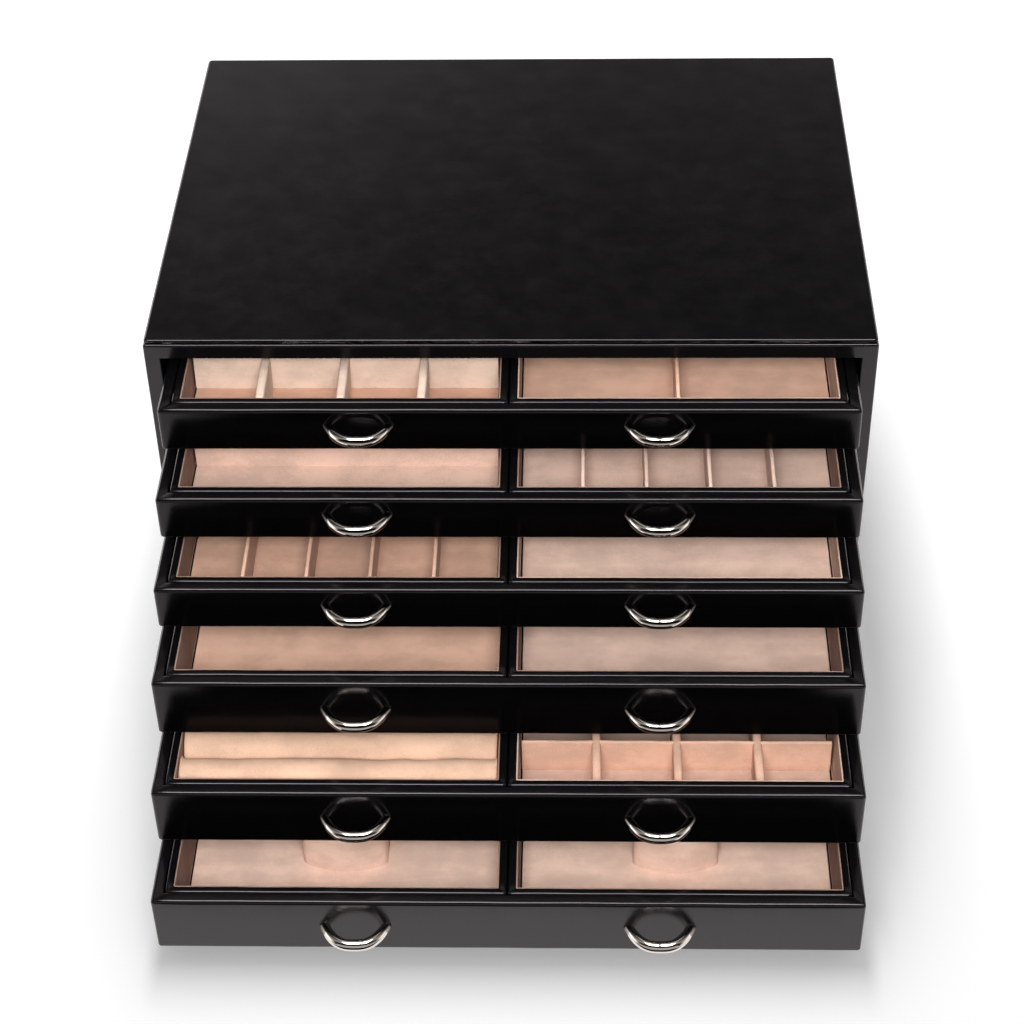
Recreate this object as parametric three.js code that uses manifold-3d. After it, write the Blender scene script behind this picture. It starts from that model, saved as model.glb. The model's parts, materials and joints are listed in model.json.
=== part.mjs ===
// Jewellery chest with six drawers, in millimetres.
// The origin is the middle of the underside, +Y runs into the depth, +X to the right, +Z up.
// A leather-covered case holds six drawers on shelves. Each drawer carries two lined trays,
// and two half-round metal pulls whose studs go through its front.
import * as THREE from 'three';
import { mergeVertices } from 'three/addons/utils/BufferGeometryUtils.js';
import Module from 'manifold-3d';

const wasm = await Module();
wasm.setup();

// Case
const CASE_WIDTH = 380;
const CASE_DEPTH = 286;
const SIDE_BOARD = 8.5;
const TOP_BOARD = 8.5;
const BOTTOM_BOARD = 8.5;
const BACK_BOARD = 6;
const CAP_PANEL = 3.4;
const CAP_CORNER = 2;
const CAP_ROUND = 1.5;
const BOARD_CORNER = 1.2;
const BOARD_ROUND = 0.8;
const BASE_FELT = 1;
const BASE_FELT_INSET = 3;
const SHELF_THICKNESS = 4;
const SHELF_SETBACK = 1.5;
const SHELF_CORNER = 1.6;
const SHELF_ROUND = 1.2;
const GLUE_LINE = 0.1;

// Drawers: three low ones above three high ones
const LOW_DRAWER_HEIGHT = 25.8;
const HIGH_DRAWER_HEIGHT = 35.7;
const DRAWER_SIDE_PLAY = 1.8;
const DRAWER_BACK_PLAY = 0.5;
const DRAWER_SEAT_GAP = 0.3;
const DRAWER_HEADROOM = 1.2;
const TOP_HEADROOM = 6.9;
const DRAWER_WALL = 6;
const DRAWER_BOTTOM = 1.6;
const DRAWER_CORNER = 2.2;
const DRAWER_ROUND = 2;

// How far each drawer stands open at rest, from the top one down
const OPENING_1 = 35;
const OPENING_2 = 68.4;
const OPENING_3 = 102.3;
const OPENING_4 = 137.8;
const OPENING_5 = 174.4;
const OPENING_6 = 210.2;

// Trays and their velour
const TRAY_PLAY = 0.3;
const TRAY_MIDDLE_GAP = 0.5;
const TRAY_WALL = 4;
const TRAY_BOTTOM = 0.8;
const TRAY_CORNER = 2.6;
const TRAY_INNER_CORNER = 1;
const TRAY_ROUND = 1;
const LINING = 0.8;
const LINING_DROP = 0.4;
const INSERT_PLAY = 0.7;
const FLOOR_PAD = 0.9;
const PADDED_WALL = 4.5;
const PADDED_WALL_ROUND = 1.6;
const CARD_WALL = 2;
const CARD_WALL_ROUND = 0.8;
const WALL_DROP = 0.9;
const CELL_ROW_DEPTH = 35.1;
const BRACELET_ROW_DEPTH = 41.7;

// Ring rolls of the fifth drawer
const ROLL_DROP = 2;
const FIRST_ROLL = 19.8;
const ROLL_PITCH = 25.7;
const ROLL_RISE = 10;

// Padded islands of the sixth drawer
const ISLAND_WIDTH = 44.4;
const ISLAND_BOW = 5.6;
const ISLAND_END_ROOM = 35.9;
const ISLAND_HEIGHT = 24;
const ISLAND_ROUND = 2;

// Pulls and their studs
const PULL_OFFSET = 77;
const PULL_SPACING = 32;
const PULL_FOOT = 2.3;
const PULL_BELLY = 3;
const PULL_STRAIGHT = 2;
const PULL_BOW = 11.5;
const LOW_PULL_DROP = 10.5;
const STUD_RADIUS = 1.2;
const STUD_PLAY = 0.3;
const RIVET_RADIUS = 2.4;
const RIVET_THICKNESS = 1.5;
const RIVET_RECESS = 2;

// One overrun serves every cut
const OVERRUN = 2;

// Counts of compartments
const CELL_COLUMNS = 4;
const CELL_ROWS = 6;
const BRACELET_ROWS = 5;
const CHANNELS = 5;

// Counts of faces
const CORNER_STEPS = 1;
const ROUND_STEPS = 2;
const EASED_STEPS = 1;
const PULL_STEPS = 14;
const PULL_SIDES = 8;
const STUD_SIDES = 6;
const ROLL_STEPS = 8;
const BOW_STEPS = 10;

// Shares
const MERGE_SHARE = 1e-6;

const QUARTER = Math.PI / 2;

// Sizes worked out from those above
const shelfPitchGap = DRAWER_HEADROOM + SHELF_THICKNESS + DRAWER_SEAT_GAP;
const bottomTop = BASE_FELT + GLUE_LINE + BOTTOM_BOARD;
const insideWidth = CASE_WIDTH - 2 * SIDE_BOARD;
const drawerWidth = insideWidth - 2 * DRAWER_SIDE_PLAY;
const drawerLength = CASE_DEPTH - BACK_BOARD - DRAWER_BACK_PLAY;
const frontY = -CASE_DEPTH / 2;

const drawers = [
  { name: 'drawer_1', height: LOW_DRAWER_HEIGHT, opening: OPENING_1 },
  { name: 'drawer_2', height: LOW_DRAWER_HEIGHT, opening: OPENING_2 },
  { name: 'drawer_3', height: LOW_DRAWER_HEIGHT, opening: OPENING_3 },
  { name: 'drawer_4', height: HIGH_DRAWER_HEIGHT, opening: OPENING_4 },
  { name: 'drawer_5', height: HIGH_DRAWER_HEIGHT, opening: OPENING_5 },
  { name: 'drawer_6', height: HIGH_DRAWER_HEIGHT, opening: OPENING_6 },
];

// Drawers are stacked from the bottom board up
let nextBottom = bottomTop + DRAWER_SEAT_GAP;
for (const drawer of [...drawers].reverse()) {
  drawer.bottom = nextBottom;
  nextBottom += drawer.height + shelfPitchGap;
}
const topDrawerRim = drawers[0].bottom + drawers[0].height;
const topBoardBottom = topDrawerRim + TOP_HEADROOM;
const sideTop = topBoardBottom + TOP_BOARD;
const sideBottom = BASE_FELT + GLUE_LINE;

const trayWidth = (drawerWidth - TRAY_MIDDLE_GAP) / 2 - DRAWER_WALL - TRAY_PLAY;
const trayLength = drawerLength - 2 * (DRAWER_WALL + TRAY_PLAY);
const trayCentreX = (TRAY_MIDDLE_GAP + trayWidth) / 2;
const trayLift = DRAWER_BOTTOM + GLUE_LINE;
const insertMargin = TRAY_WALL + LINING + INSERT_PLAY;
const insertWidth = trayWidth - 2 * insertMargin;
const insertLength = trayLength - 2 * insertMargin;
const linerLift = TRAY_BOTTOM + GLUE_LINE;
const standLift = linerLift + FLOOR_PAD + GLUE_LINE;
const wallHeight = LOW_DRAWER_HEIGHT - trayLift - standLift - WALL_DROP;

// Materials
function finish(color, roughness, metalness) {
  return new THREE.MeshStandardMaterial({ color, roughness, metalness });
}
const blackLeather = () => finish(0x141315, 0.32, 0);
const blackFelt = () => finish(0x1b1a1b, 0.95, 0);
const beigeVelour = () => finish(0xdcbca6, 0.9, 0);
const polishedNickel = () => finish(0xd9d4cf, 0.12, 1);

// A solid for joining and cutting
function toSolid(geometry) {
  const bare = geometry.clone();
  bare.deleteAttribute('normal');
  bare.deleteAttribute('uv');
  const merged = mergeVertices(bare, CASE_WIDTH * MERGE_SHARE);
  const vertProperties = Float32Array.from(merged.attributes.position.array);
  const triVerts = Uint32Array.from(merged.index.array);
  return new wasm.Manifold(new wasm.Mesh({ numProp: 3, vertProperties, triVerts }));
}

function toGeometry(solid) {
  const mesh = solid.getMesh();
  const geometry = new THREE.BufferGeometry();
  geometry.setAttribute('position', new THREE.BufferAttribute(mesh.vertProperties, 3));
  geometry.setIndex(new THREE.BufferAttribute(mesh.triVerts, 1));
  geometry.computeVertexNormals();
  return geometry;
}

function cut(base, tools) {
  let result = toSolid(base);
  for (const tool of tools) {
    result = result.subtract(toSolid(tool));
  }
  return toGeometry(result);
}

function join(pieces) {
  let result = toSolid(pieces[0]);
  for (const piece of pieces.slice(1)) {
    result = result.add(toSolid(piece));
  }
  return toGeometry(result);
}

// Rectangle with round corners, centred on x, with y from 0 to its depth
function outline(width, depth, corner) {
  const side = width / 2;
  const shape = new THREE.Shape();
  shape.moveTo(corner - side, 0);
  shape.lineTo(side - corner, 0);
  shape.absarc(side - corner, corner, corner, -QUARTER, 0, false);
  shape.lineTo(side, depth - corner);
  shape.absarc(side - corner, depth - corner, corner, 0, QUARTER, false);
  shape.lineTo(corner - side, depth);
  shape.absarc(corner - side, depth - corner, corner, QUARTER, 2 * QUARTER, false);
  shape.lineTo(-side, corner);
  shape.absarc(corner - side, corner, corner, 2 * QUARTER, 3 * QUARTER, false);
  return shape;
}

// Board with sharp edges: x centred, y from 0, z from 0
function block(width, depth, height) {
  return new THREE.BoxGeometry(width, depth, height).translate(0, depth / 2, height / 2);
}

// Extrusion upwards of any outline, with its upper and lower edges rounded
function softExtrusion(shape, height, round, steps) {
  const geometry = new THREE.ExtrudeGeometry(shape, {
    depth: height - 2 * round,
    bevelEnabled: true,
    bevelThickness: round,
    bevelSize: round,
    bevelOffset: -round,
    bevelSegments: steps,
    curveSegments: CORNER_STEPS,
  });
  return geometry.translate(0, 0, round);
}

// Board with large round edges
function softBoard(width, depth, height, corner, round) {
  return softExtrusion(outline(width, depth, corner), height, round, ROUND_STEPS);
}

// Board whose edges are only eased
function easedBoard(width, depth, height) {
  return softExtrusion(outline(width, depth, BOARD_CORNER), height, BOARD_ROUND, EASED_STEPS);
}

function pocket(width, depth, height, corner) {
  return new THREE.ExtrudeGeometry(outline(width, depth, corner), {
    depth: height,
    bevelEnabled: false,
    curveSegments: CORNER_STEPS,
  });
}

// Profile in the x-z plane carried along y, from y = 0
function alongY(shape, length) {
  const geometry = new THREE.ExtrudeGeometry(shape, {
    depth: length,
    bevelEnabled: false,
    curveSegments: CORNER_STEPS,
  });
  return geometry.rotateX(QUARTER).translate(0, length, 0);
}

// Profile in the y-z plane carried along x, centred on x
function alongX(shape, length) {
  const geometry = new THREE.ExtrudeGeometry(shape, {
    depth: length,
    bevelEnabled: false,
    curveSegments: CORNER_STEPS,
  });
  return geometry.rotateX(QUARTER).rotateZ(QUARTER).translate(-length / 2, 0, 0);
}

function piece(name, geometry, material, x = 0, y = 0, z = 0) {
  const mesh = new THREE.Mesh(geometry, material);
  mesh.name = name;
  mesh.position.set(x, y, z);
  return mesh;
}

// Case boards
function capPanel() {
  const board = softBoard(CASE_WIDTH, CASE_DEPTH, CAP_PANEL, CAP_CORNER, CAP_ROUND);
  return piece('cap_panel', board, blackLeather(), 0, frontY, sideTop + GLUE_LINE);
}

function sideBoard(name, side) {
  const height = sideTop - sideBottom;
  const board = easedBoard(SIDE_BOARD, CASE_DEPTH, height);
  return piece(name, board, blackLeather(), side * (CASE_WIDTH - SIDE_BOARD) / 2, frontY, sideBottom);
}

function topBoard() {
  const width = insideWidth - 2 * GLUE_LINE;
  const depth = CASE_DEPTH - BACK_BOARD - GLUE_LINE;
  const board = easedBoard(width, depth, TOP_BOARD);
  return piece('top_board', board, blackLeather(), 0, frontY, topBoardBottom);
}

function bottomBoard() {
  const width = insideWidth - 2 * GLUE_LINE;
  const depth = CASE_DEPTH - BACK_BOARD - GLUE_LINE;
  const board = easedBoard(width, depth, BOTTOM_BOARD);
  return piece('bottom_board', board, blackLeather(), 0, frontY, sideBottom);
}

function backBoard() {
  const width = insideWidth - 2 * GLUE_LINE;
  const board = easedBoard(width, BACK_BOARD, sideTop - sideBottom);
  return piece('back_board', board, blackLeather(), 0, -frontY - BACK_BOARD, sideBottom);
}

function baseFelt() {
  const width = CASE_WIDTH - 2 * BASE_FELT_INSET;
  const depth = CASE_DEPTH - 2 * BASE_FELT_INSET;
  const sheet = pocket(width, depth, BASE_FELT, BASE_FELT_INSET);
  return piece('base_felt', sheet, blackFelt(), 0, frontY + BASE_FELT_INSET, 0);
}

// Thin board with a round front edge, on which the drawer above it slides
function shelf(drawer) {
  const width = insideWidth - 2 * GLUE_LINE;
  const depth = CASE_DEPTH - BACK_BOARD - GLUE_LINE - SHELF_SETBACK;
  const board = softBoard(width, depth, SHELF_THICKNESS, SHELF_CORNER, SHELF_ROUND);
  const level = drawer.bottom - DRAWER_SEAT_GAP - SHELF_THICKNESS;
  return piece(`${drawer.name}_shelf`, board, blackLeather(), 0, frontY + SHELF_SETBACK, level);
}

// Height of the pulls above a drawer's underside
function pullHeight(drawer) {
  return drawer.height === LOW_DRAWER_HEIGHT ? drawer.height - LOW_PULL_DROP : drawer.height / 2;
}

// Turned piece along +Y from a profile of radius and length pairs
function turned(profile) {
  const points = profile.map(([radius, along]) => new THREE.Vector2(radius, along));
  return new THREE.LatheGeometry(points, STUD_SIDES);
}

// Stepped hole for one stud, from in front of the face to behind the board
function studHole() {
  const hole = STUD_RADIUS + STUD_PLAY;
  const recess = RIVET_RADIUS + STUD_PLAY;
  const step = DRAWER_WALL - RIVET_RECESS;
  const end = DRAWER_WALL + OVERRUN;
  return turned([[0, -OVERRUN], [hole, -OVERRUN], [hole, step], [recess, step], [recess, end], [0, end]]);
}

// Stud on the foot of a pull, with its end riveted over behind the front board
function stud() {
  const root = -PULL_STRAIGHT;
  const head = DRAWER_WALL - RIVET_RECESS + GLUE_LINE;
  const end = head + RIVET_THICKNESS;
  return turned([
    [0, root], [STUD_RADIUS, root], [STUD_RADIUS, head], [RIVET_RADIUS, head], [RIVET_RADIUS, end], [0, end],
  ]);
}

// Open box with round leather edges and a stepped hole for each stud
function drawerBox(drawer) {
  const outer = softBoard(drawerWidth, drawerLength, drawer.height, DRAWER_CORNER, DRAWER_ROUND);
  const width = drawerWidth - 2 * DRAWER_WALL;
  const length = drawerLength - 2 * DRAWER_WALL;
  const hollow = block(width, length, drawer.height).translate(0, DRAWER_WALL, DRAWER_BOTTOM);
  const holes = [];
  for (const centre of [-PULL_OFFSET, PULL_OFFSET]) {
    for (const foot of [-PULL_SPACING / 2, PULL_SPACING / 2]) {
      holes.push(studHole().translate(centre + foot, 0, pullHeight(drawer)));
    }
  }
  return piece(`${drawer.name}_box`, cut(outer, [hollow, ...holes]), blackLeather());
}

// Half ring: a round bar that swells towards the middle of a parabolic bow, with straight feet.
// A ring of points stands square to the bow at each step, and flat caps close the feet.
function pullBar() {
  const half = PULL_SPACING / 2;
  const stations = [{ x: -half, y: -GLUE_LINE, ahead: [0, -1], radius: PULL_FOOT }];
  for (let step = 0; step <= PULL_STEPS; step += 1) {
    const angle = Math.PI * step / PULL_STEPS;
    const swell = Math.sin(angle);
    stations.push({
      x: -half * Math.cos(angle),
      y: -PULL_STRAIGHT - PULL_BOW * swell * swell,
      ahead: [half, -2 * PULL_BOW * Math.cos(angle)],
      radius: PULL_FOOT + (PULL_BELLY - PULL_FOOT) * swell,
    });
  }
  stations.push({ x: half, y: -GLUE_LINE, ahead: [0, 1], radius: PULL_FOOT });
  const position = [];
  const index = [];
  for (const { x, y, ahead, radius } of stations) {
    const along = new THREE.Vector2(...ahead).normalize();
    for (let side = 0; side < PULL_SIDES; side += 1) {
      const turn = 4 * QUARTER * (side + 1 / 2) / PULL_SIDES;
      const out = radius * Math.cos(turn);
      position.push(x + out * along.y, y - out * along.x, radius * Math.sin(turn));
    }
  }
  for (let ring = 0; ring < stations.length - 1; ring += 1) {
    for (let side = 0; side < PULL_SIDES; side += 1) {
      const a = ring * PULL_SIDES + side;
      const b = ring * PULL_SIDES + (side + 1) % PULL_SIDES;
      index.push(a, a + PULL_SIDES, b, b, a + PULL_SIDES, b + PULL_SIDES);
    }
  }
  const last = (stations.length - 1) * PULL_SIDES;
  for (let side = 1; side < PULL_SIDES - 1; side += 1) {
    index.push(0, side, side + 1);
    index.push(last, last + side + 1, last + side);
  }
  const geometry = new THREE.BufferGeometry();
  geometry.setAttribute('position', new THREE.Float32BufferAttribute(position, 3));
  geometry.setIndex(index);
  return geometry;
}

// Half ring with the two studs that hold it
function pull(name, drawer, x) {
  const studs = [-1, 1].map((side) => stud().translate(side * PULL_SPACING / 2, 0, 0));
  return piece(name, join([pullBar(), ...studs]), polishedNickel(), x, 0, pullHeight(drawer));
}

// Trays
function trayHeight(drawer) {
  return drawer.height - trayLift;
}

function tray(drawer, side) {
  const height = trayHeight(drawer);
  const outer = softBoard(trayWidth, trayLength, height, TRAY_CORNER, TRAY_ROUND);
  const width = trayWidth - 2 * TRAY_WALL;
  const length = trayLength - 2 * TRAY_WALL;
  const hollow = pocket(width, length, height, TRAY_INNER_CORNER);
  hollow.translate(0, TRAY_WALL, TRAY_BOTTOM);
  return piece(`${drawer.name}_${side}_tray`, cut(outer, [hollow]), blackLeather());
}

// Velour liner of a tray: a floor pad, thin walls all round, and any dividers that stand on the floor
function liner(drawer, dividers) {
  const width = trayWidth - 2 * TRAY_WALL - 2 * GLUE_LINE;
  const length = trayLength - 2 * TRAY_WALL - 2 * GLUE_LINE;
  const height = trayHeight(drawer) - TRAY_BOTTOM - GLUE_LINE - LINING_DROP;
  const outer = pocket(width, length, height, TRAY_INNER_CORNER);
  const hollow = block(width - 2 * LINING, length - 2 * LINING, height);
  const shell = cut(outer, [hollow.translate(0, LINING, FLOOR_PAD)]);
  const inset = LINING + INSERT_PLAY - GLUE_LINE;
  return join([shell, ...dividers.map((divider) => divider.translate(0, inset, FLOOR_PAD / 2))]);
}

// Evenly spaced places of the middles of walls that part a length into cells
function wallPlaces(length, cells, wall) {
  const cell = (length - (cells - 1) * wall) / cells;
  const places = [];
  for (let number = 1; number < cells; number += 1) {
    places.push(number * (cell + wall) - wall / 2 - length / 2);
  }
  return places;
}

// Upright wall profile whose two upper corners are round
function wallProfile(wall, height, round) {
  const side = wall / 2;
  const shape = new THREE.Shape();
  shape.moveTo(-side, 0);
  shape.lineTo(side, 0);
  shape.lineTo(side, height - round);
  shape.absarc(side - round, height - round, round, 0, QUARTER, false);
  shape.lineTo(round - side, height);
  shape.absarc(round - side, height - round, round, QUARTER, 2 * QUARTER, false);
  return shape;
}

// Walls that run front to back
function lengthwiseWalls(cells, wall, height, round) {
  const profile = wallProfile(wall, height, round);
  return wallPlaces(insertWidth, cells, wall).map((x) => alongY(profile, insertLength).translate(x, 0, 0));
}

// Places of the middles of cross walls: one front row of its own depth, then even rows
function crossPlaces(rows, firstRow, wall) {
  const rest = (insertLength - firstRow - (rows - 1) * wall) / (rows - 1);
  const places = [];
  for (let number = 1; number < rows; number += 1) {
    places.push(firstRow + wall / 2 + (number - 1) * (rest + wall));
  }
  return places;
}

// Padded walls that run from side to side
function crosswiseWalls(rows, firstRow, height) {
  const profile = wallProfile(PADDED_WALL, height, PADDED_WALL_ROUND);
  return crossPlaces(rows, firstRow, PADDED_WALL).map((y) => alongX(profile, insertWidth).translate(0, y, 0));
}

// Grid of padded walls that stands on the floor of a liner
function cellGrid() {
  const lengthwise = lengthwiseWalls(CELL_COLUMNS, PADDED_WALL, wallHeight, PADDED_WALL_ROUND);
  return join([...lengthwise, ...crosswiseWalls(CELL_ROWS, CELL_ROW_DEPTH, wallHeight)]);
}

// Single card wall that stands on the floor of a liner
function cardDivider() {
  return lengthwiseWalls(2, CARD_WALL, wallHeight, CARD_WALL_ROUND)[0];
}

// Places of the creases between rolls: the first roll is squeezed, the last takes what is left
function rollCreases() {
  const creases = [0];
  let next = FIRST_ROLL;
  while (insertLength - next > ROLL_PITCH) {
    creases.push(next);
    next += ROLL_PITCH;
  }
  creases.push(insertLength);
  return creases;
}

// Foam rolls side by side, with slots between them for rings
function ringRolls(drawer) {
  const crest = trayHeight(drawer) - standLift - ROLL_DROP;
  const creases = rollCreases();
  const shape = new THREE.Shape();
  shape.moveTo(0, 0);
  shape.lineTo(insertLength, 0);
  for (let roll = creases.length - 1; roll > 0; roll -= 1) {
    const half = (creases[roll] - creases[roll - 1]) / 2;
    const centre = creases[roll] - half;
    for (let step = 0; step < ROLL_STEPS; step += 1) {
      const turn = Math.PI * step / ROLL_STEPS;
      const rise = ROLL_RISE * (Math.sin(turn) - 1);
      shape.lineTo(centre + half * Math.cos(turn), crest + rise);
    }
  }
  shape.lineTo(0, crest - ROLL_RISE);
  return alongX(shape, insertWidth);
}

// Outline with straight long sides and bowed ends
function islandOutline(length) {
  const side = ISLAND_WIDTH / 2;
  const radius = (side * side + ISLAND_BOW * ISLAND_BOW) / (2 * ISLAND_BOW);
  const sweep = Math.asin(side / radius);
  const shape = new THREE.Shape();
  for (let step = 0; step <= BOW_STEPS; step += 1) {
    const turn = sweep * (2 * step / BOW_STEPS - 1);
    const x = radius * Math.sin(turn);
    const y = radius - radius * Math.cos(turn);
    if (step === 0) {
      shape.moveTo(x, y);
    } else {
      shape.lineTo(x, y);
    }
  }
  for (let step = 0; step <= BOW_STEPS; step += 1) {
    const turn = sweep * (1 - 2 * step / BOW_STEPS);
    shape.lineTo(radius * Math.sin(turn), length - radius + radius * Math.cos(turn));
  }
  return shape;
}

function island() {
  const length = insertLength - 2 * ISLAND_END_ROOM;
  return softExtrusion(islandOutline(length), ISLAND_HEIGHT, ISLAND_ROUND, ROUND_STEPS)
    .translate(0, ISLAND_END_ROOM, 0);
}

// Dividers that are part of a liner reach down into its floor pad
const sunkWall = wallHeight + FLOOR_PAD / 2;
const channelWalls = () => lengthwiseWalls(CHANNELS, CARD_WALL, sunkWall, CARD_WALL_ROUND);
const braceletWalls = () => crosswiseWalls(BRACELET_ROWS, BRACELET_ROW_DEPTH, sunkWall);

// What each tray holds: the dividers of its liner, and the piece that stands on the liner
const contents = {
  drawer_1_left: { stands: 'cell_grid', make: cellGrid },
  drawer_1_right: { stands: 'divider', make: cardDivider },
  drawer_2_left: { dividers: braceletWalls },
  drawer_2_right: { dividers: channelWalls },
  drawer_3_left: { dividers: channelWalls },
  drawer_5_left: { stands: 'ring_rolls', make: ringRolls },
  drawer_5_right: { stands: 'cell_grid', make: cellGrid },
  drawer_6_left: { stands: 'island', make: island },
  drawer_6_right: { stands: 'island', make: island },
};

// Tray with its liner and whatever stands on the liner
function trayWithContents(drawer, side) {
  const name = `${drawer.name}_${side}`;
  const { dividers, stands, make } = contents[name] ?? {};
  const group = new THREE.Group();
  group.position.set(side === 'left' ? -trayCentreX : trayCentreX, DRAWER_WALL + TRAY_PLAY, trayLift);
  group.add(tray(drawer, side));
  const lined = liner(drawer, dividers ? dividers() : []);
  group.add(piece(`${name}_liner`, lined, beigeVelour(), 0, TRAY_WALL + GLUE_LINE, linerLift));
  if (stands) {
    group.add(piece(`${name}_${stands}`, make(drawer), beigeVelour(), 0, insertMargin, standLift));
  }
  return group;
}

function drawerAssembly(drawer) {
  const group = new THREE.Group();
  group.position.set(0, frontY - drawer.opening, drawer.bottom);
  group.add(drawerBox(drawer));
  group.add(pull(`${drawer.name}_left_pull`, drawer, -PULL_OFFSET));
  group.add(pull(`${drawer.name}_right_pull`, drawer, PULL_OFFSET));
  group.add(trayWithContents(drawer, 'left'));
  group.add(trayWithContents(drawer, 'right'));
  return group;
}

const chest = new THREE.Group();
chest.add(baseFelt(), bottomBoard(), sideBoard('left_side_board', -1), sideBoard('right_side_board', 1));
chest.add(backBoard(), topBoard(), capPanel());
for (const drawer of drawers.slice(0, -1)) {
  chest.add(shelf(drawer));
}
for (const drawer of drawers) {
  chest.add(drawerAssembly(drawer));
}

export default chest;
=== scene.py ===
import json
import math

import bpy
import numpy as np
from mathutils import Matrix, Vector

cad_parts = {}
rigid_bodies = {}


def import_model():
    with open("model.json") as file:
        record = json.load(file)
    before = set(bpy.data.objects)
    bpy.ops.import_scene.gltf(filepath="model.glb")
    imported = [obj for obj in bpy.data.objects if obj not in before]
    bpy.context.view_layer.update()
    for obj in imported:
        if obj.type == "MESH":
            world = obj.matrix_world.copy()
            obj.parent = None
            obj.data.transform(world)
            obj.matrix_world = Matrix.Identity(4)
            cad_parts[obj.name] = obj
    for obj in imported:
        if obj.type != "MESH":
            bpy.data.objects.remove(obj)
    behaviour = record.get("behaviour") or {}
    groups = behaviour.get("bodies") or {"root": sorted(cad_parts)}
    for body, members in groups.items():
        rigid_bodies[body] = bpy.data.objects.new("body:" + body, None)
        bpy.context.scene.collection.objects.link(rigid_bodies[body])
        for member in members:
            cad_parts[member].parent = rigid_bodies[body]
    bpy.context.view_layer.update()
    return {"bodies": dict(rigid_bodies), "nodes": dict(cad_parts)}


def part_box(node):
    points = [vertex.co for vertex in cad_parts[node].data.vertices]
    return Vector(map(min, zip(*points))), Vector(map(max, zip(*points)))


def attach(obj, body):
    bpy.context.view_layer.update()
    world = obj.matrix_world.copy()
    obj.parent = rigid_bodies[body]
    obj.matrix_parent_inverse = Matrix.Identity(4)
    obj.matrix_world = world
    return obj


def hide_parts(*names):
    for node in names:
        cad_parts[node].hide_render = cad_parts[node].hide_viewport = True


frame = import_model()
mm = 0.001  # the pieces are given in millimetres, the room and its lamps in metres
drawerNames = sorted(body for body in frame["bodies"] if body != "case")
print("frame loaded")


# the camera stands where the photograph was taken from; angles in degrees
camera = {"place": (35.6, -1104.0, 959.3), "tilt": 41.007, "turn": -2.158, "roll": -1.356,
          "lens": 81.86, "film": 36, "farthest": 50}


def addCamera():
    # looks along the turn and the tilt, and is rolled about that line
    tilt, turn, roll = (math.radians(camera[key]) for key in ("tilt", "turn", "roll"))
    away = np.array([math.sin(turn), math.cos(turn), 0.0])
    level = np.array([math.cos(turn), -math.sin(turn), 0.0])
    ahead = away * math.cos(tilt) - np.array([0.0, 0.0, math.sin(tilt)])
    upright = np.cross(level, ahead)
    right = level * math.cos(roll) + upright * math.sin(roll)
    up = upright * math.cos(roll) - level * math.sin(roll)
    data = bpy.data.cameras.new("camera")
    data.lens = camera["lens"]
    data.sensor_width = camera["film"]
    data.clip_end = camera["farthest"]
    body = bpy.data.objects.new("camera", data)
    turned = Matrix(np.column_stack([right, up, -ahead]).tolist()).to_4x4()
    body.matrix_world = Matrix.Translation([value * mm for value in camera["place"]]) @ turned
    bpy.context.scene.collection.objects.link(body)
    bpy.context.scene.camera = body


def newNode(tree, kind, values, **settings):
    # a node with its settings, whose inputs take plain values or another node's output
    made = tree.nodes.new(kind)
    for key, value in settings.items():
        setattr(made, key, value)
    for key, value in values.items():
        if isinstance(value, bpy.types.NodeSocket):
            tree.links.new(value, made.inputs[key])
        else:
            made.inputs[key].default_value = value
    return made


def addRamp(tree, source, start, end, low, high, way="SMOOTHSTEP"):
    # goes from low to high while the source goes from start to end, and stays there
    values = {"Value": source, "From Min": start, "From Max": end, "To Min": low, "To Max": high}
    return newNode(tree, "ShaderNodeMapRange", values, interpolation_type=way).outputs["Result"]


def addMath(tree, operation, *terms):
    # the operation on the first two terms, then on the result and each further one
    total = terms[0]
    for term in terms[1:] or (0.0,):
        node = newNode(tree, "ShaderNodeMath", {0: total, 1: term}, operation=operation)
        total = node.outputs["Value"]
    return total


def addNoise(tree, place, scale, detail, roughness):
    values = {"Vector": place, "Scale": scale, "Detail": detail, "Roughness": roughness}
    return newNode(tree, "ShaderNodeTexNoise", values).outputs["Fac"]


def addBump(tree, height, strength, depth, over=None):
    # a normal bent by the height, over another bump's normal if there is one
    made = newNode(tree, "ShaderNodeBump", {"Height": height, "Strength": strength, "Distance": depth})
    if over:
        tree.links.new(over, made.inputs["Normal"])
    return made.outputs["Normal"]


def addBlend(tree, factor, first, second, way="MIX"):
    values = {"Factor": factor, "A": first, "B": second}
    return newNode(tree, "ShaderNodeMix", values, data_type="RGBA", blend_type=way).outputs["Result"]


def addGroup(name, inputs, outputs):
    # a shader group with named sockets: its tree, the piece's own coordinates, what comes in, what goes out
    tree = bpy.data.node_groups.new(name, "ShaderNodeTree")
    for way, sockets in (("INPUT", inputs), ("OUTPUT", outputs)):
        for label, kind in sockets.items():
            tree.interface.new_socket(label, in_out=way, socket_type=f"NodeSocket{kind}")
    place = newNode(tree, "ShaderNodeTexCoord", {}).outputs["Object"]
    given = newNode(tree, "NodeGroupInput", {}).outputs
    return tree, place, given, newNode(tree, "NodeGroupOutput", {}).inputs


# how many waves, grains or fibres go in a metre, and how deep they are in metres
leather = {"grain": 900, "grainDepth": 0.00001, "sway": 9, "swayDepth": 0.0002, "patch": 60}
velour = {"cloud": 38, "brush": 140, "pile": 2600, "pileDepth": 0.0001, "pileStrength": 0.6,
          "cloudShare": 0.75, "brushShare": 0.3, "pileShare": 0.7, "brushTurn": 0.5, "brushLength": 0.35}
plate = {"waves": 220, "waveDepth": 0.00003}
middle = (0.3, 0.7)  # between these lies nearly all of a noise


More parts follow.
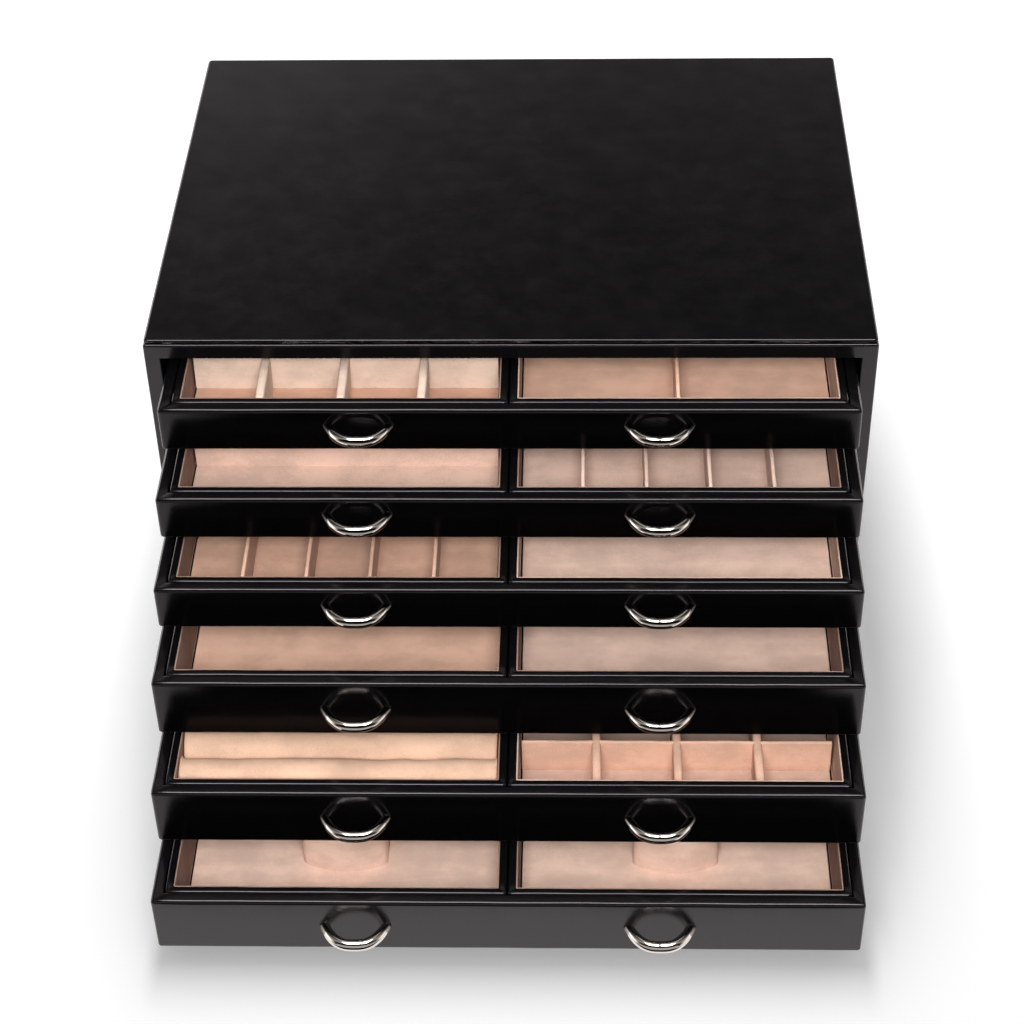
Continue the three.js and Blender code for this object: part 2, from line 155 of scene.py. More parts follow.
def leatherSurface():
    # very fine grain on slow undulations, with patches that are a little paler and duller
    tree, place, given, out = addGroup(
        "leatherSurface", {"Dark": "Color", "Light": "Color", "Smooth": "Float", "Dull": "Float"},
        {"Colour": "Color", "Gloss": "Float", "Normal": "Vector"})
    patch = addNoise(tree, place, leather["patch"], 4, 0.6)
    tree.links.new(addBlend(tree, patch, given["Dark"], given["Light"]), out["Colour"])
    tree.links.new(addRamp(tree, patch, *middle, given["Smooth"], given["Dull"], "LINEAR"), out["Gloss"])
    sway = addBump(tree, addNoise(tree, place, leather["sway"], 2, 0.45), 1, leather["swayDepth"])
    grain = {"Vector": place, "Scale": leather["grain"]}
    grain = newNode(tree, "ShaderNodeTexVoronoi", grain, feature="F1").outputs["Distance"]
    tree.links.new(addBump(tree, grain, 1, leather["grainDepth"], sway), out["Normal"])
    return tree


def velourSurface():
    # cloudy marks and brush strokes where the pile lies one way or the other, over single fibres
    tree, place, given, out = addGroup("velourSurface", {"Dark": "Color", "Light": "Color"},
                                       {"Colour": "Color", "Normal": "Vector"})
    stroke = {"Vector": place, "Scale": (velour["brushLength"], 1, 1),
              "Rotation": (0, 0, velour["brushTurn"])}
    stroke = newNode(tree, "ShaderNodeMapping", stroke).outputs["Vector"]
    cloud = addNoise(tree, place, velour["cloud"], 5, 0.6)
    brush = addNoise(tree, stroke, velour["brush"], 3, 0.6)
    pile = addNoise(tree, place, velour["pile"], 2, 0.7)
    shares = ((cloud, velour["cloudShare"]), (brush, velour["brushShare"]), (pile, velour["pileShare"]))
    parts = [addRamp(tree, part, *middle, -share, share, "LINEAR") for part, share in shares]
    shade = addMath(tree, "ADD", *parts, 0.5)
    tree.links.new(addBlend(tree, shade, given["Dark"], given["Light"]), out["Colour"])
    tree.links.new(addBump(tree, pile, velour["pileStrength"], velour["pileDepth"]), out["Normal"])
    return tree


def plateSurface():
    # the faint waviness of polished plate
    tree, place, given, out = addGroup("plateSurface", {"Waves": "Float"}, {"Normal": "Vector"})
    waves = addNoise(tree, place, given["Waves"], 1, 0.4)
    tree.links.new(addBump(tree, waves, 1, plate["waveDepth"]), out["Normal"])
    return tree


def addMaterial(name, surface, group, values, mirrored=1.0):
    # a principled surface whose colour, gloss and normal come from a shared group with the material's own
    # values; mirrored is the share of its colour that shows in the glossy leather beside it, a painted
    # darkening of its reflection
    material = bpy.data.materials.new(name)
    material.use_nodes = True
    tree = material.node_tree
    shader = tree.nodes["Principled BSDF"]
    for key, value in surface.items():
        shader.inputs[key].default_value = value
    effect = newNode(tree, "ShaderNodeGroup", values, node_tree=group).outputs
    for label, socket in (("Colour", "Base Color"), ("Gloss", "Roughness"), ("Normal", "Normal")):
        if label in effect:
            tree.links.new(effect[label], shader.inputs[socket])
    if mirrored < 1:
        glossy = newNode(tree, "ShaderNodeLightPath", {}).outputs["Is Glossy Ray"]
        dimmed = addBlend(tree, glossy, effect["Colour"], (mirrored, mirrored, mirrored, 1), "MULTIPLY")
        tree.links.new(dimmed, shader.inputs["Base Color"])
    return material


# each leather: dark and light shade, specular level, roughness where smooth and where dull
black = ((0.0022, 0.0020, 0.0024), (0.0038, 0.0035, 0.0040))
# the upper drawers' fronts get a darker black than the rest of the leather: painted shade
shadedBlack = ((0.0006, 0.0006, 0.0007), (0.0012, 0.0011, 0.0013))
leathers = {"caseLeather": (*black, 0.5, 0.13, 0.2), "rimLeather": (*black, 0.4, 0.12, 0.18),
            "faceLeather": (*shadedBlack, 0.35, 0.13, 0.2), "lowFaceLeather": (*black, 0.55, 0.16, 0.24)}
leatherTint = (1.0, 0.94, 1.0, 1)
# each lining's colour: lighter and darker copies of the one velour, painted light and shade on the pieces
# that wear them; each goes a share darker and lighter with the lie of the pile
litAndShadedLinings = {"warm": (0.75, 0.47, 0.345), "deep": (0.60, 0.37, 0.27), "pale": (0.69, 0.53, 0.43),
         "rose": (0.69, 0.49, 0.40), "clear": (0.78, 0.55, 0.445), "roll": (0.62, 0.405, 0.29)}
# the lining's colour shows at a quarter in the glossy leather: painted shade in its reflection
lining = {"dark": 0.88, "light": 1.12, "mirrored": 0.25}
liningSurface = {"Roughness": 0.95, "Specular IOR Level": 0.1, "Sheen Weight": 0.03, "Sheen Roughness": 0.4}
# each flat nap: dark and light shade, and the share of it that shows in the leather beside it, where less
# than all a painted shade in its reflection; the two wall naps are darker copies of the lining, painted
# shade on the tray walls
flatNaps = {"wallVelour": ((0.24, 0.15, 0.12), (0.31, 0.20, 0.16), 0.15),
            "paleWallVelour": ((0.47, 0.32, 0.26), (0.60, 0.43, 0.35), 0.15),
            # the gap's nap is near black: painted shade down in the gap between the strip and the pad
            "paintedGapShade": ((0.003, 0.002, 0.002), (0.006, 0.005, 0.004), 1.0),
            "felt": ((0.01, 0.01, 0.01), (0.02, 0.02, 0.02), 1.0)}
flatSurface = {"Roughness": 1.0, "Specular IOR Level": 0.1}
nickelSurface = {"Base Color": (0.72, 0.67, 0.63, 1), "Metallic": 1, "Roughness": 0.04}


def makeMaterials():
    hide, nap, made = leatherSurface(), velourSurface(), {}
    for name, (dark, light, specular, smooth, dull) in leathers.items():
        surface = {"Specular IOR Level": specular, "Specular Tint": leatherTint}
        values = {"Dark": (*dark, 1), "Light": (*light, 1), "Smooth": smooth, "Dull": dull}
        made[name] = addMaterial(name, surface, hide, values)
    for name, tint in litAndShadedLinings.items():
        dark, light = (tuple(part * lining[way] for part in tint) for way in ("dark", "light"))
        values = {"Dark": (*dark, 1), "Light": (*light, 1)}
        made[name] = addMaterial(f"{name}Velour", liningSurface, nap, values, lining["mirrored"])
    for name, (dark, light, mirrored) in flatNaps.items():
        values = {"Dark": (*dark, 1), "Light": (*light, 1)}
        made[name] = addMaterial(name, flatSurface, nap, values, mirrored)
    made["nickel"] = addMaterial("nickel", nickelSurface, plateSurface(), {"Waves": plate["waves"]})
    return made


def boxOf(node):
    low, high = (np.array(corner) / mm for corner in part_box(node))
    return low, high


def gridFaces(rows, columns, joined):
    # quads between neighbouring rows; each row closes round on itself, and a joined last row on the first
    row, column = np.meshgrid(np.arange(rows if joined else rows - 1), np.arange(columns), indexing="ij")
    after, below = (column + 1) % columns, (row + 1) % rows
    corners = [(row, column), (row, after), (below, after), (below, column)]
    return np.stack([down * columns + across for down, across in corners], -1).reshape(-1, 4)


def uneven(points, reach, amount, seed):
    # moves each point by a sum of slow sine waves that run in seeded directions
    rng = np.random.default_rng(seed)
    moved = points.copy()
    count = 4
    for turn in range(count):
        wave = rng.normal(size=(3, 3)) * 2 * math.pi / reach
        moved += amount / count * np.sin(points @ wave + rng.uniform(0, 2 * math.pi, 3))
    return moved


def addPiece(name, skins, body, nodes, wave=0.0, reach=55.0):
    # each skin is its rows of points and a material. One face closes its first row and one its last, in the
    # finish that a third word gives, or in its own; where the word is joined, the two rows meet instead
    points, faces, finishes, materials, start = [], [], [], [], 0
    for rings, material, *ends in skins:
        rows, columns = rings.shape[:2]
        joined = ends == ["joined"]
        points.append(rings.reshape(-1, 3))
        quads = (gridFaces(rows, columns, joined) + start).tolist()
        first = (start + np.arange(columns))[::-1].tolist()
        last = (start + (rows - 1) * columns + np.arange(columns)).tolist()
        closing = [] if joined else [first, last]
        found = [material] if joined else [material, *ends]
        materials += [one for one in found if one not in materials]
        faces += quads + closing
        finishes += [materials.index(material)] * len(quads)
        finishes += [materials.index(found[-1])] * len(closing)
        start += rows * columns
    points = np.vstack(points)
    if wave:
        points = uneven(points, reach, wave, len(name) + sum(map(ord, name)))
    mesh = bpy.data.meshes.new(name)
    mesh.from_pydata((points * mm).tolist(), [], faces)
    for material in materials:
        mesh.materials.append(material)
    mesh.polygons.foreach_set("material_index", finishes)
    mesh.shade_smooth()
    piece = bpy.data.objects.new(name, mesh)
    bpy.context.scene.collection.objects.link(piece)
    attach(piece, body)
    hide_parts(*nodes)
    return piece


def roundPath(corners, radii, steps=5, hold=0.5):
    # straight runs whose corners become arcs, with a point just off each arc that keeps the runs flat. A
    # point of an arc is its centre plus sin((1 - t) a) / sin a of the way to its start and sin(t a) / sin a
    # of the way to its end, where a is the arc's angle and t goes from 0 to 1
    corners = np.array(corners, float)
    path = [corners[:1]]
    for before, corner, after, radius in zip(corners, corners[1:], corners[2:], radii):
        back = (before - corner) / np.linalg.norm(before - corner)
        on = (after - corner) / np.linalg.norm(after - corner)
        half = math.acos(np.clip(back @ on, -1, 1)) / 2
        reach = radius / math.tan(half)
        centre = corner + (back + on) / np.linalg.norm(back + on) * radius / math.sin(half)
        start, end = corner + back * reach - centre, corner + on * reach - centre
        angle = math.pi - 2 * half
        turn = np.linspace(0, 1, steps + 1)[:, None]
        arc = (np.sin((1 - turn) * angle) * start + np.sin(turn * angle) * end) / math.sin(angle)
        path += [corner + back * (reach + hold), centre + arc, corner + on * (reach + hold)]
    path.append(corners[-1:])
    return np.vstack(path)


def outline(width, depth, step, steps=6):
    # goes round a rectangle side by side and corner by corner: places from -1 to 1, outward directions,
    # and 1 for the points that belong to a corner
    places, normals, corners = [], [], []
    starts = (((-1, -1), -90, width), ((1, -1), 0, depth), ((1, 1), 90, width), ((-1, 1), 180, depth))
    for start, facing, length in starts:
        count = max(2, int(length / step))
        near = min(1.0, length / 8) / length  # a point close to each corner keeps the side straight
        share = np.insert(np.linspace(0, 1, count + 1), [1, count], [near, 1 - near])[:, None]
        ahead = math.radians(facing + 90)
        places.append(np.array(start) + 2 * share * np.array([math.cos(ahead), math.sin(ahead)]))
        bend = math.radians(facing) + np.linspace(0, math.pi / 2, steps + 1)[1:-1]
        places.append(np.repeat(places[-1][-1:], len(bend), 0))
        angle = np.concatenate([math.radians(facing) + np.zeros(len(share)), bend])
        normals.append(np.stack([np.cos(angle), np.sin(angle)], -1))
        corners.append(np.r_[1, np.zeros(len(share) - 2), np.ones(len(bend) + 1)])
    return np.vstack(places), np.vstack(normals), np.concatenate(corners)


def carried(low, high, corner, profile, step=8.0, axis=2, crease=None):
    # a profile of inset and height carried round a box: each point is the box's middle, plus its place on
    # the outline times half the size less inset and radius, plus its outward direction times the radius,
    # where the radius is the corner's less the inset; a crease lowers the corners
    order = [(axis + 1) % 3, (axis + 2) % 3, axis]
    low, high = low[order], high[order]
    place, normal, bent = outline(*(high - low)[:2], step)
    inset, leastRadius, leastHalf = profile[:, :1], 0.05, 0.01
    radius = np.maximum(corner - inset, leastRadius)
    half = np.maximum((high - low)[:2] / 2 - inset - radius, leastHalf)
    flat = (high + low)[:2] / 2 + place * half[:, None] + normal * radius[..., None]
    points = np.empty((*flat.shape[:2], 3))
    points[..., order[:2]] = flat
    points[..., axis] = low[2] + profile[:, 1:] - (0 if crease is None else crease[:, None] * bent)
    return points


def block(low, high, corner, top, bottom, axis=2, hold=0.5, step=8.0):
    # a board or pad: its edge profile goes out along the bottom, up the side and in along the top, with
    # the bottom's and the top's radius on its two corners
    size = (high - low)[[(axis + 1) % 3, (axis + 2) % 3, axis]]
    leastFace = 0.08
    inner = min(max(top, bottom) + 2 * hold, min(size[0], size[1]) / 2 - leastFace)
    hold = min(hold, (inner - max(top, bottom)) / 2)
    corners = [(inner, 0), (0, 0), (0, size[2]), (inner, size[2])]
    return carried(low, high, corner, roundPath(corners, (bottom, top), hold=hold), step, axis)


def openBox(low, high, corner, wall, floor, rim, inside, foot, mitre):
    # an open box: its profile goes out along the bottom, up the outside, over the rim, down the inside and
    # in along the floor, and the rim is pressed in by the mitre at its corners
    tall = high[2] - low[2]
    run, floorRound = 3, 0.6
    corners = [(foot + run, 0), (0, 0), (0, tall), (wall, tall), (wall, floor), (wall + run, floor)]
    profile = roundPath(corners, (foot, rim, inside, floorRound))
    onRim = (profile[:, 1] > tall - rim) & (profile[:, 0] < wall - inside / 2)
    return carried(low, high, corner, profile, crease=np.where(onRim, mitre, 0.0))


def sleeve(low, high, corner, wall, front, back):
    # a rectangular sleeve from front to back: its profile goes round the front edge, back along the
    # outside, round the back edge and forward along the inside to where it began
    far, inner = high[1] - low[1], 0.5
    corners = [(wall, far / 2), (wall, 0), (0, 0), (0, far), (wall, far), (wall, far / 2)]
    profile = roundPath(corners, (inner, front, back, inner), steps=6)
    return carried(low, high, corner, profile[:-1], axis=1)


caseWork = {"wall": 8.5, "corner": 1.2, "frontRound": 1.0, "backRound": 1.0, "ahead": 0.5, "wave": 0.07,
            "capCorner": 2.2, "capRound": 1.1, "capFoot": 1.2, "capInset": 0.5, "capLower": 1.1,
            "panelCorner": 0.6, "panelRound": 0.5, "panelLet": 0.4, "shelfCorner": 1.0, "shelfRound": 1.4,
            "wideReach": 90.0}
caseBoards = ["left_side_board", "right_side_board", "top_board", "bottom_board"]


def addLeather(name, skins, body, nodes, wave, reach=55.0):
    return addPiece(f"{name}_leather", skins, body, nodes, wave, reach)


def makeCase(finish):
    # the four boards are one wrapped sleeve, closed by the back panel, with the cap on top
    hide, work, wave = finish["caseLeather"], caseWork, caseWork["wave"]
    lows, highs = zip(*(boxOf(node) for node in caseBoards))
    low, high = np.min(lows, 0) - [0, work["ahead"], 0], np.max(highs, 0)
    boards = sleeve(low, high, work["corner"], work["wall"], work["frontRound"], work["backRound"])
    addLeather("case", [(boards, hide, "joined")], "case", caseBoards, wave, work["wideReach"])
    low, high = boxOf("back_board")
    low, high = low + [0, 0, work["wall"]], high - [0, work["panelLet"], work["wall"]]
    panel = block(low, high, work["panelCorner"], work["panelRound"], work["panelRound"], 1)
    addLeather("back_board", [(panel, hide)], "case", ["back_board"], wave)
    low, high = boxOf("cap_panel")
    inset = work["capInset"]
    low, high = low + [inset, inset, 0], high - [inset, inset, work["capLower"]]
    cap = block(low, high, work["capCorner"], work["capRound"], work["capFoot"])
    addLeather("cap_panel", [(cap, hide)], "case", ["cap_panel"], wave, work["wideReach"])
    for name in drawerNames[:-1]:
        shelf = block(*boxOf(f"{name}_shelf"), work["shelfCorner"], work["shelfRound"], work["shelfRound"])
        addLeather(f"{name}_shelf", [(shelf, hide)], "case", [f"{name}_shelf"], wave)


drawerWork = {"corner": 1.8, "wall": 6.0, "floor": 1.6, "rim": 1.7, "inside": 0.5, "foot": 1.2,
              "mitre": 0.22}
trayWork = {"corner": 2.6, "wall": 4.0, "floor": 0.8, "rim": 1.3, "inside": 0.5, "foot": 0.5,
            "mitre": 0.16}
boxWave = 0.1


def makeBox(node, body, work, finish):
    skin = openBox(*boxOf(node), **work)
    return addLeather(node, [(skin, finish["rimLeather"])], body, [node], boxWave)


def faceFront(piece, material):
    # gives every face that looks straight forward a finish of its own
    mesh, straight = piece.data, 0.995
    mesh.materials.append(material)
    normals = np.empty(len(mesh.polygons) * 3)
    finishes = np.empty(len(mesh.polygons), int)
    mesh.polygons.foreach_get("normal", normals)
    mesh.polygons.foreach_get("material_index", finishes)
    finishes[normals.reshape(-1, 3)[:, 1] < -straight] = len(mesh.materials) - 1
    mesh.polygons.foreach_set("material_index", finishes)


# the piece's copy of the lining, with its painted light and shade, is the one of the longest name here that
# its own name starts with
litAndShadedCopyOf = {"drawer_1_left_liner": "deep", "drawer_1_left_cell": "pale", "drawer_1_right": "warm",
        "drawer_2": "rose", "drawer_3_left": "deep", "drawer_3_right": "clear", "drawer_4_left": "warm",
        "drawer_4_right": "clear", "drawer_5": "warm", "drawer_5_right_liner": "rose",
        "drawer_5_left_ring": "roll", "drawer_6": "clear"}
# these liners' walls wear the less dark of the two wall naps, painted shade too
lightShadedWalled = ["drawer_1_right_liner", "drawer_3_right_liner", "drawer_5_right_liner"]
liner = {"thick": 0.8, "lipRound": 0.3, "under": 0.3, "turnIn": 0.4, "turnRound": 0.05, "corner": 1.0,
         "pad": 0.9, "padUnder": 0.35, "padCorner": 0.6, "padRound": 0.35, "padFoot": 0.1,
         "padHold": 0.3, "gap": 0.65, "endGap": 1.3, "wave": 0.08, "waveReach": 40.0}
walls = {"card": 2.0, "cardRound": 0.9, "padded": 4.5, "paddedRound": 1.6, "height": 21.3, "sunk": 0.2,
         "corner": 0.4, "foot": 0.1, "hold": 0.15, "step": 6.0, "gridRound": 1.5, "cross": 1.8,
         "crossRound": 0.7, "crossLower": 0.12, "gridWave": 0.25, "gridReach": 30.0,
         "dividerWave": 0.15, "dividerReach": 40.0}
cells = {"columns": 4, "rows": 6, "firstRow": 35.1, "braceletRows": 5, "firstBracelet": 41.7,
         "channels": 5}
channelled, bracelets = ("drawer_2_right_liner", "drawer_3_left_liner"), "drawer_2_left_liner"


def velourOf(node, finish):
    return finish[litAndShadedCopyOf[max((start for start in litAndShadedCopyOf if node.startswith(start)), key=len)]]


def addVelour(node, skins, body, wave, reach):
    return addPiece(f"{node}_velour", skins, body, [node], wave, reach)


def evenPlaces(low, high, count, wall):
    # middles of the walls that part a length into equal cells
    cell = (high - low - (count - 1) * wall) / count
    return [low + number * (cell + wall) - wall / 2 for number in range(1, count)]


def rowPlaces(low, high, count, wall, first):
    # middles of the walls after a front row of its own depth and between equal rows
    rest = (high - low - first - (count - 1) * wall) / (count - 1)
    return [low + first + wall / 2 + number * (rest + wall) for number in range(count - 1)]


def standingWall(low, high, topRound):
    corner = min(walls["corner"], topRound)
    return block(low, high, corner, topRound, walls["foot"], hold=walls["hold"], step=walls["step"])


def wallsAlong(places, low, high, wall, bottom, top, topRound, axis):
    # upright walls at places on one axis, each as long as the box is on the other
    skins = []
    for place in places:
        start, end = np.array([low[0], low[1], bottom]), np.array([high[0], high[1], top])
        start[axis], end[axis] = place - wall / 2, place + wall / 2
        skins.append(standingWall(start, end, topRound))
    return skins


def makeLiner(node, body, finish):
    # a strip of velour stands along the tray's walls: its profile goes up the outside, over the lip and
    # down the inside. A thin pad lies on the floor, a gap away from it, and carries the dividers
    low, high = boxOf(node)
    tall, lip, under, turnIn = high[2] - low[2], liner["thick"], liner["under"], liner["turnIn"]
    lipRound, turnRound = liner["lipRound"], liner["turnRound"]
    strip = [(turnIn, 0), (0, 0), (0, tall), (lip, tall), (lip, under), (lip + turnIn, under)]
    strip = roundPath(strip, (turnRound, lipRound, lipRound, turnRound), steps=3, hold=turnRound)
    # the strip wears a darker copy of the lining: painted shade on the tray walls
    stripShadedVelour = finish["paleWallVelour" if node in lightShadedWalled else "wallVelour"]
    # the caps that close the strip's foot are in the near-black nap; the one down in the gap is painted
    # shade
    skins = [(carried(low, high, liner["corner"], strip), stripShadedVelour, finish["paintedGapShade"])]
    inset, end = lip + liner["gap"], lip + liner["endGap"]
    padLow = low + [end, inset, liner["padUnder"]]
    padHigh = np.array([high[0] - end, high[1] - inset, low[2] + liner["pad"]])
    nap = velourOf(node, finish)
    pad = block(padLow, padHigh, liner["padCorner"], liner["padRound"], liner["padFoot"],
                hold=liner["padHold"])
    skins.append((pad, nap))
    bottom, top = padHigh[2] - walls["sunk"], padHigh[2] + walls["height"]
    dividers = []
    if node in channelled:
        places = evenPlaces(padLow[0], padHigh[0], cells["channels"], walls["card"])
        dividers = wallsAlong(places, padLow, padHigh, walls["card"], bottom, top, walls["cardRound"], 0)
    if node == bracelets:
        wall = walls["padded"]
        places = rowPlaces(padLow[1], padHigh[1], cells["braceletRows"], wall, cells["firstBracelet"])
        dividers = wallsAlong(places, padLow, padHigh, wall, bottom, top, walls["paddedRound"], 1)
    skins += [(divider, nap) for divider in dividers]
    addVelour(node, skins, body, liner["wave"], liner["waveReach"])


def makeCellGrid(node, body, finish):
    # padded walls run along the tray. The cross walls are thin boards whose fronts stand where the padded
    # walls' fronts would
    low, high = boxOf(node)
    wall, thin = walls["padded"], walls["cross"]
    along = evenPlaces(low[0], high[0], cells["columns"], wall)
    across = np.array(rowPlaces(low[1], high[1], cells["rows"], wall, cells["firstRow"]))
    aside = np.array([liner["endGap"] - liner["gap"], 0, 0])
    skins = wallsAlong(along, low, high, wall, low[2], high[2], walls["gridRound"], 0)
    skins += wallsAlong(across - (wall - thin) / 2, low + aside, high - aside, thin, low[2],
                        high[2] - walls["crossLower"], walls["crossRound"], 1)
    nap = velourOf(node, finish)
    addVelour(node, [(skin, nap) for skin in skins], body, walls["gridWave"], walls["gridReach"])


def makeDivider(node, body, finish):
    skins = [(standingWall(*boxOf(node), walls["cardRound"]), velourOf(node, finish))]
    addVelour(node, skins, body, walls["dividerWave"], walls["dividerReach"])


rolls = {"first": 19.8, "pitch": 25.7, "rise": 10.5, "fullness": 0.9, "around": 22, "across": 40,
         "end": 2.2, "endRows": 7, "ends": 6.0, "core": 8.0, "fill": 0.7, "wave": 0.6, "waveReach": 45.0}


def makeRolls(node, body, finish):
    # each roll's top is half an ellipse, a little fuller; the section of all of them is carried across the
    # tray, and its points are drawn in towards a core at both ends, along a quarter circle
    low, high = boxOf(node)
    between = np.arange(low[1] + rolls["first"], high[1] - rolls["pitch"], rolls["pitch"])
    creases = [low[1], *between, high[1]]
    turn = (np.arange(rolls["around"]) + 0.5) / rolls["around"] * math.pi
    crest = high[2] - rolls["rise"]
    section = []
    for front, back in zip(creases, creases[1:]):
        half = (back - front) / 2
        y = (front + back) / 2 - half * np.cos(turn)
        z = crest + rolls["rise"] * np.sin(turn) ** rolls["fullness"]
        section.append(np.stack([y, z], -1))
    section = np.vstack([np.vstack(section)[::-1], [[low[1], low[2]], [high[1], low[2]]]])
    core = np.array([(low[1] + high[1]) / 2, low[2] + rolls["core"]])
    end = np.linspace(0, math.pi / 2, rolls["endRows"])
    drawn, out = rolls["end"] * (1 - np.sin(end)), rolls["end"] * (1 - np.cos(end))
    straight = np.linspace(low[0] + rolls["ends"], high[0] - rolls["ends"], rolls["across"])
    across = np.concatenate([low[0] + out, straight, (high[0] - out)[::-1]])
    drawnIn = np.concatenate([drawn, np.zeros(rolls["across"]), drawn[::-1]])[:, None, None]
    toward = core - section
    toward = toward / np.linalg.norm(toward, axis=1)[:, None]
    shaped = section + toward * drawnIn
    rings = np.concatenate([np.broadcast_to(across[:, None, None], (*shaped.shape[:2], 1)), shaped], -1)
    skins = [(rings, velourOf(node, finish))]
    piece = addVelour(node, skins, body, rolls["wave"], rolls["waveReach"])


island = {"bow": 5.6, "end": 0.8, "top": 2.6, "foot": 0.3, "below": 5, "over": 8, "arcPoints": 25,
          "sidePoints": 24, "fill": 0.9, "wave": 0.3, "waveReach": 40.0}


def makeIsland(node, body, finish):
    # an outline with straight sides and ends that bow out along an arc; its edge profile goes out along
    # the bottom, up the side and in over the rounded top edge
    low, high = boxOf(node)
    tall = high[2] - low[2]
    centre = (low + high)[:2] / 2
    halfWide, halfLong = (high - low)[:2] / 2
    bow = island["bow"]
    radius = (halfWide ** 2 + bow ** 2) / (2 * bow)
    sweep = math.asin(halfWide / radius)
    turn = np.linspace(-sweep, sweep, island["arcPoints"])[1:-1]
    front = np.stack([radius * np.sin(turn), radius * (1 - np.cos(turn)) - halfLong], -1)
    side = np.linspace(-1, 1, island["sidePoints"])[:, None] * (halfLong - bow - island["end"])
    right = np.hstack([np.full_like(side, halfWide), side])
    shape = np.vstack([front, right, -front, -right])
    ahead = np.roll(shape, -1, 0) - np.roll(shape, 1, 0)
    normal = np.stack([ahead[:, 1], -ahead[:, 0]], -1) / np.linalg.norm(ahead, axis=1)[:, None]
    corners = [(island["below"], 0), (0, 0), (0, tall), (island["over"], tall)]
    profile = roundPath(corners, (island["foot"], island["top"]), steps=7)
    flat = centre + shape - normal * profile[:, :1][:, None]
    height = np.broadcast_to(low[2] + profile[:, 1:][:, None], (*flat.shape[:2], 1))
    skins = [(np.concatenate([flat, height], -1), velourOf(node, finish))]
    piece = addVelour(node, skins, body, island["wave"], island["waveReach"])


pull = {"spacing": 31.6, "foot": 2.5, "belly": 2.95, "reach": 12.4, "fullness": 2.8, "sunk": 0.8,
        "steps": 96, "sides": 32}


def makePull(node, body, drawerNode, finish):
    # a round bar, thickest in the middle, that leaves the front slantwise: its reach is the full one times
    # one less a power of the distance from the middle
    low, high = boxOf(node)
    face = boxOf(drawerNode)[0][1]
    centre = np.array([(low[0] + high[0]) / 2, face, (low[2] + high[2]) / 2])
    half, sunk = pull["spacing"] / 2, pull["sunk"]
    turn = np.linspace(0, math.pi, pull["steps"])
    reach = pull["reach"] * (1 - np.abs(np.cos(turn)) ** pull["fullness"])
    foot = half + sunk * half / (pull["reach"] * pull["fullness"])
    path = np.vstack([(-foot, sunk), np.stack([-half * np.cos(turn), -reach], -1), (foot, sunk)])
    swell = np.concatenate([[0], np.sin(turn), [0]])
    thick = pull["foot"] + (pull["belly"] - pull["foot"]) * swell
    ahead = np.gradient(path, axis=0)
    ahead /= np.linalg.norm(ahead, axis=1)[:, None]
    across = np.stack([ahead[:, 1], -ahead[:, 0]], -1)
    angle = -np.linspace(0, 2 * math.pi, pull["sides"], endpoint=False)
    flat = path[:, None] + across[:, None] * (thick[:, None] * np.cos(angle))[..., None]
    height = (thick[:, None] * np.sin(angle))[..., None]
    skins = [(np.concatenate([flat, height], -1) + centre, finish["nickel"])]
    return addPiece(f"{node}_polished", skins, body, [node])


# what mirrors see of the room, by direction. A ramp is a part of the direction, from where to where it
# goes, and the two strengths; the ramps of a glow are multiplied, and the glows are added
room = {"light": 0.3, "seen": (1, 1, 1, 1), "glow": (1.0, 0.96, 0.92, 1), "middle": 0.03, "slant": 0.3}
glows = {
    "overhead": [("z", 0.0, 0.1, 0.0, 12.0), ("y", 0.1, 0.22, 1.0, 0.035), ("y", 0.62, 0.74, 1.0, 0.0),
                 ("y", -0.3, -0.24, 0.0, 1.0), ("aside", 0.24, 0.34, 1.0, 0.035),
                 ("aside", 0.4, 0.5, 1.0, 0.6), ("aside", 0.008, 0.016, 0.1, 1.0)],
    "behind": [("z", 0.12, 0.62, 1.0, 0.02), ("y", -0.5, 0.0, 0.04, 1.0), ("x", -0.16, 0.0, 2.1, 1.0)],
    "beside": [("outward", 0.68, 0.76, 0.0, 4.0), ("z", 0.13, 0.2, 0.0, 1.0), ("z", 0.27, 0.34, 1.0, 0.0),
               ("y", 0.6, 0.68, 0.08, 1.0), ("y", 0.78, 0.82, 1.0, 0.08)]}


